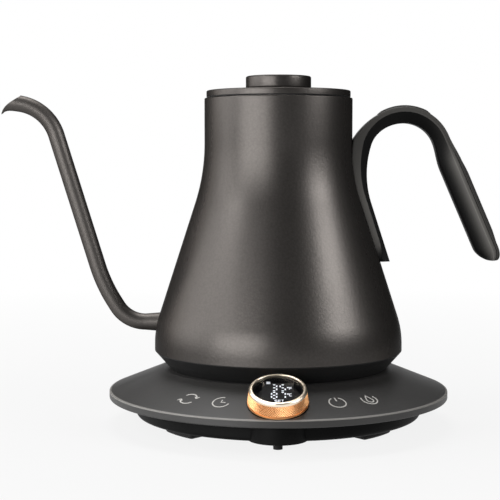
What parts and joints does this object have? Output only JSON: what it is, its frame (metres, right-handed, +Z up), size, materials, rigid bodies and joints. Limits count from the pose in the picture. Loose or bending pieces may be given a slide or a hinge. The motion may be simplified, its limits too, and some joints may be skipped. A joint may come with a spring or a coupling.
{
  "type": "electric gooseneck kettle with power base",
  "caption": "Bell-shaped electric gooseneck kettle with a lift-out lid and an open hanging handle, on a round sloping power base with a knurled display dial.",
  "frame": {"origin": "on the worktop, on the kettle's own axis at the centre of the base", "axes": "+Z up, +X towards the handle grip, -X towards the spout tip, -Y towards the dial"},
  "size_m": [0.2972, 0.2036, 0.2066],
  "materials": {
    "gunmetal_coat": "fine leather-grain coating, satin sheen",
    "black_moulding": "matte black moulding, fine texture",
    "base_black": "matte black moulding with a soft sheen",
    "rose_gold": "knurled side, polished bevel",
    "display_glass": "dark tinted window",
    "light_block": "black light block",
    "steel": "plain steel",
    "alloy": "cast plate",
    "contact_brass": "plated contacts",
    "rubber": "black rubber",
    "silicone": "grey silicone",
    "board": "green board",
    "device": "black component case",
    "white_moulding": "heat-proof white moulding"
  },
  "bodies": {
    "base": {"base_cover": "base_black", "base_tray": "black_moulding", "rubber_feet": "rubber", "front_foot": "rubber", "base_socket": "black_moulding", "socket_contacts": "contact_brass", "socket_screws": "steel", "tray_screws": "steel", "power_board": "board", "relay": "device", "transformer": "device", "capacitors": "device", "terminal_block": "white_moulding", "control_board": "board", "buzzer": "device", "touch_boards": "board", "touch_springs": "steel", "cord_gland": "rubber", "dial_housing": "black_moulding", "press_switch": "device"},
    "contact_set": {"connector_contacts": "contact_brass"},
    "kettle": {"kettle_shell": "gunmetal_coat", "spout": "gunmetal_coat", "boiler_floor": "steel", "heat_plate": "alloy", "heater_ring": "steel", "heater_pins": "steel", "thermal_cutouts": "device", "ntc_probe": "steel", "probe_seal": "silicone", "floor_studs": "steel", "cup_screws": "steel", "bottom_cup": "black_moulding", "hem_gasket": "rubber", "kettle_connector": "white_moulding", "handle_bosses": "steel", "handle_screws": "steel", "handle_arm": "black_moulding", "handle_cover": "black_moulding", "thumb_rest": "rubber"},
    "lid": {"lid_cover": "gunmetal_coat", "lid_knob": "gunmetal_coat", "knob_spacer": "black_moulding", "lid_liner": "steel", "lid_seal": "silicone", "knob_screw": "steel"},
    "dial_button": {"dial_core": "black_moulding", "dial_window": "display_glass", "display_board": "board", "led_display": "light_block", "stem_clip": "steel", "switch_plunger": "device"},
    "dial_turner": {"dial_ring": "rose_gold", "magnet_ring": "steel"}
  },
  "joints": [
    {"name": "kettle_lift", "type": "slide", "parent": "base", "child": "contact_set", "axis": [0, 0, 1], "range_m": [0, 0.12]},
    {"name": "kettle_turn", "type": "hinge", "parent": "contact_set", "child": "kettle", "pos_m": [0, 0, 0.04], "axis": [0, 0, 1], "continuous": true},
    {"name": "lid_lift", "type": "slide", "parent": "kettle", "child": "lid", "axis": [0, 0, 1], "range_m": [0, 0.06]},
    {"name": "dial_press", "type": "slide", "parent": "base", "child": "dial_button", "axis": [0, 0.3746, -0.9272], "range_m": [0, 0.0008], "stiffness_N_per_m": 1500, "springref_m": -0.001},
    {"name": "dial_turn", "type": "hinge", "parent": "dial_button", "child": "dial_turner", "pos_m": [0, -0.08674, 0.03155], "axis": [0, -0.3746, 0.9272], "continuous": true}
  ]
}
